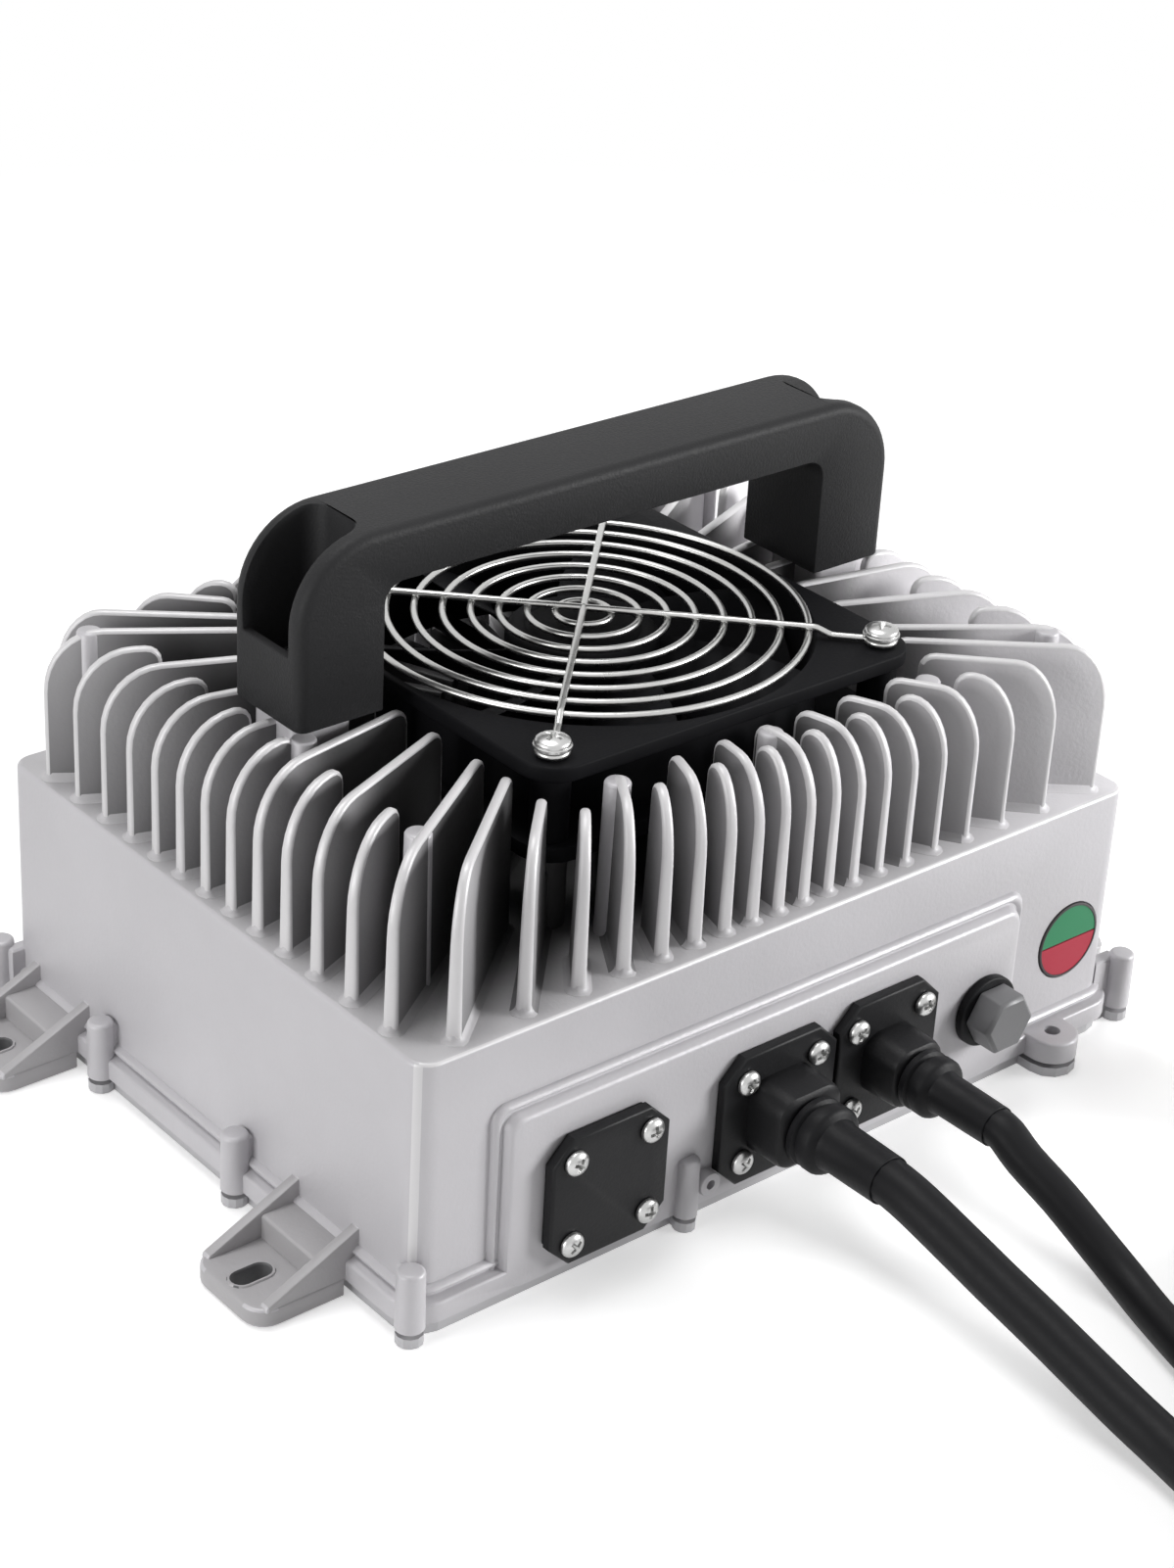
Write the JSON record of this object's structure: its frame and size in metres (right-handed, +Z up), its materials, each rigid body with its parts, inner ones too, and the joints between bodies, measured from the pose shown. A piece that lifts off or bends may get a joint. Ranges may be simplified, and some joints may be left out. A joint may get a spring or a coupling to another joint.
{
  "type": "battery charger",
  "caption": "Silver die-cast battery charger with cooling fins on all four sides, a top fan under a wire guard, a black carry handle and two black leads",
  "frame": {"origin": "on the floor under the middle of the housing", "axes": "+X along the connector face to the right as seen from that face, +Y from the connector face to the back, +Z up"},
  "size_m": [0.2888, 0.5411, 0.1605],
  "materials": {
    "cast_aluminium": "satin as-cast, silver grey",
    "sheet_metal": "satin",
    "black_plastic": "matte",
    "fan_plastic": "satin",
    "plated_wire": "bright plated",
    "screw_steel": "bright",
    "black_rubber": "matte",
    "grey_plastic": "satin",
    "status_lens": "semi-gloss, green upper half and red lower half",
    "circuit_board": "satin",
    "copper_winding": "enamelled copper wire",
    "ferrite": "matte",
    "capacitor_can": "sleeved can"
  },
  "bodies": {
    "charger": {"housing": "cast_aluminium", "bottom_cover": "sheet_metal", "handle": "black_plastic", "blank_plate": "black_plastic", "output_flange": "black_plastic", "input_flange": "black_plastic", "output_connector": "black_plastic", "input_plug": "black_plastic", "relay": "black_plastic", "fan_frame": "fan_plastic", "fan_guard": "plated_wire", "handle_screw_left": "screw_steel", "handle_screw_right": "screw_steel", "cover_screw_1": "screw_steel", "cover_screw_2": "screw_steel", "cover_screw_3": "screw_steel", "cover_screw_4": "screw_steel", "cover_screw_5": "screw_steel", "cover_screw_6": "screw_steel", "cover_screw_7": "screw_steel", "cover_screw_8": "screw_steel", "cover_screw_9": "screw_steel", "cover_screw_10": "screw_steel", "fan_screw_1": "screw_steel", "fan_screw_2": "screw_steel", "fan_screw_3": "screw_steel", "fan_screw_4": "screw_steel", "blank_screw_1": "screw_steel", "blank_screw_2": "screw_steel", "blank_screw_3": "screw_steel", "blank_screw_4": "screw_steel", "output_screw_1": "screw_steel", "output_screw_2": "screw_steel", "output_screw_3": "screw_steel", "output_screw_4": "screw_steel", "input_screw_1": "screw_steel", "input_screw_2": "screw_steel", "input_screw_3": "screw_steel", "input_screw_4": "screw_steel", "cover_gasket": "black_rubber", "blank_gasket": "black_rubber", "vent_seal": "black_rubber", "output_boot": "black_rubber", "input_boot": "black_rubber", "output_cable": "black_rubber", "output_coil": "black_rubber", "output_tail": "black_rubber", "input_cable": "black_rubber", "input_coil": "black_rubber", "input_tail": "black_rubber", "vent_plug": "grey_plastic", "power_module": "grey_plastic", "status_lens": "status_lens", "main_board": "circuit_board", "pfc_choke": "copper_winding", "transformer": "ferrite", "bulk_capacitor_1": "capacitor_can", "bulk_capacitor_2": "capacitor_can"},
    "fan_rotor": {"fan_rotor": "fan_plastic"}
  },
  "joints": [
    {"name": "fan_spin", "type": "hinge", "parent": "charger", "child": "fan_rotor", "pos_m": [0, 0, 0.1], "axis": [0, 0, 1], "continuous": true}
  ]
}
